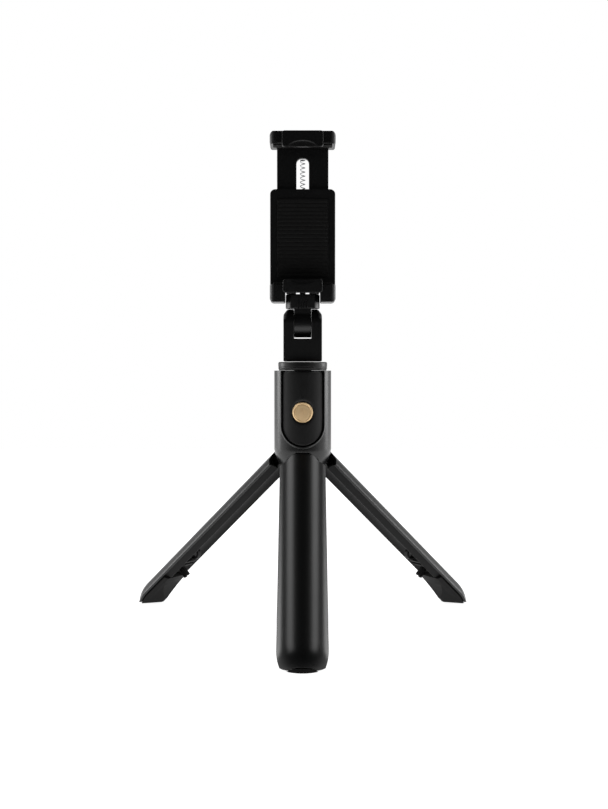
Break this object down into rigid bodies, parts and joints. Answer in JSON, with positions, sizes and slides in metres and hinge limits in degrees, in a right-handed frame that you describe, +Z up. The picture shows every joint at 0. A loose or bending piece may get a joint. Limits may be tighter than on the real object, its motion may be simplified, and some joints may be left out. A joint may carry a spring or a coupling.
{
  "type": "selfie stick tripod",
  "caption": "Telescopic phone stick standing on its three opened grip legs, with a sprung phone clamp on a tilting, turning head and a detachable round-button remote in the collar.",
  "frame": {"origin": "on the ground under the middle of the object's box, legs open and tubes pushed in", "axes": "+Z up along the stick, +X to the right of someone facing the remote, front leg and remote towards -Y"},
  "size_m": [0.1836, 0.1626, 0.25],
  "materials": {
    "gloss_black": "polished black moulding",
    "satin_black": "satin black moulding",
    "matt_black": "fine matt black moulding",
    "rubber": "soft black rubber",
    "steel": "brushed stainless steel",
    "gold": "satin gold anodised, turned rings",
    "board": "green circuit board"
  },
  "bodies": {
    "grip": {"collar_shell": "gloss_black", "collar_core": "matt_black", "collar_cap": "satin_black", "sleeve": "satin_black", "sleeve_cap": "matt_black", "hinge_pin_front": "steel", "hinge_pin_right": "steel", "hinge_pin_left": "steel"},
    "leg_front": {"leg_front_shell": "gloss_black", "leg_front_liner": "matt_black", "leg_front_toe": "rubber"},
    "leg_right": {"leg_right_shell": "gloss_black", "leg_right_liner": "matt_black", "leg_right_toe": "rubber"},
    "leg_left": {"leg_left_shell": "gloss_black", "leg_left_liner": "matt_black", "leg_left_toe": "rubber"},
    "remote": {"remote_front": "satin_black", "remote_back": "satin_black", "remote_board": "board", "remote_dome": "steel", "remote_cell": "steel"},
    "remote_button": {"remote_button": "gold"},
    "tube_1": {"tube_1": "steel"},
    "tube_2": {"tube_2": "steel"},
    "tube_3": {"tube_3": "steel"},
    "tube_4": {"tube_4": "steel"},
    "tube_5": {"tube_5": "steel"},
    "head": {"head_disc": "satin_black", "yoke": "satin_black", "tilt_bolt": "steel", "tilt_nut": "steel"},
    "neck": {"neck": "satin_black"},
    "clamp": {"clamp_body": "satin_black", "clamp_cover": "satin_black", "turn_screw": "steel", "pad_lower": "rubber", "pad_back": "rubber", "clamp_spring": "steel", "cover_screw_1": "steel", "cover_screw_2": "steel", "cover_screw_3": "steel", "cover_screw_4": "steel"},
    "upper_jaw": {"jaw_upper": "satin_black", "jaw_slider": "satin_black", "pad_upper": "rubber"}
  },
  "joints": [
    {"name": "leg_front_fold", "type": "hinge", "parent": "grip", "child": "leg_front", "pos_m": [0, 0.0128, 0.08638], "axis": [1, 0, 0], "range_deg": [0, 47.47]},
    {"name": "leg_right_fold", "type": "hinge", "parent": "grip", "child": "leg_right", "pos_m": [0.00899, 0.02837, 0.08638], "axis": [-0.5, 0.866, 0], "range_deg": [0, 47.47]},
    {"name": "leg_left_fold", "type": "hinge", "parent": "grip", "child": "leg_left", "pos_m": [-0.00899, 0.02837, 0.08638], "axis": [-0.5, -0.866, 0], "range_deg": [0, 47.47]},
    {"name": "tube_1_slide", "type": "slide", "parent": "grip", "child": "tube_1", "axis": [0, 0, 1], "range_m": [0, 0.092]},
    {"name": "tube_2_slide", "type": "slide", "parent": "tube_1", "child": "tube_2", "axis": [0, 0, 1], "range_m": [0, 0.092]},
    {"name": "tube_3_slide", "type": "slide", "parent": "tube_2", "child": "tube_3", "axis": [0, 0, 1], "range_m": [0, 0.092]},
    {"name": "tube_4_slide", "type": "slide", "parent": "tube_3", "child": "tube_4", "axis": [0, 0, 1], "range_m": [0, 0.092]},
    {"name": "tube_5_slide", "type": "slide", "parent": "tube_4", "child": "tube_5", "axis": [0, 0, 1], "range_m": [0, 0.092]},
    {"name": "head_spin", "type": "hinge", "parent": "tube_5", "child": "head", "pos_m": [0, 0.02318, 0.1318], "axis": [0, 0, 1], "continuous": true},
    {"name": "head_tilt", "type": "hinge", "parent": "head", "child": "neck", "pos_m": [0, 0.02318, 0.1532], "axis": [1, 0, 0], "range_deg": [-90, 90]},
    {"name": "clamp_turn", "type": "hinge", "parent": "neck", "child": "clamp", "pos_m": [0, 0.02318, 0.168], "axis": [0, 0, 1], "continuous": true},
    {"name": "jaw_slide", "type": "slide", "parent": "clamp", "child": "upper_jaw", "axis": [0, 0, 1], "range_m": [-0.0205, 0.014], "stiffness_N_per_m": 120, "springref_m": -0.0255, "deforming": ["clamp_spring"]},
    {"name": "remote_pull", "type": "slide", "parent": "grip", "child": "remote", "axis": [0, -1, 0], "range_m": [0, 0.03]},
    {"name": "button_press", "type": "slide", "parent": "remote", "child": "remote_button", "axis": [0, 1, 0], "range_m": [0, 0.0005], "stiffness_N_per_m": 600, "springref_m": -0.0005}
  ]
}
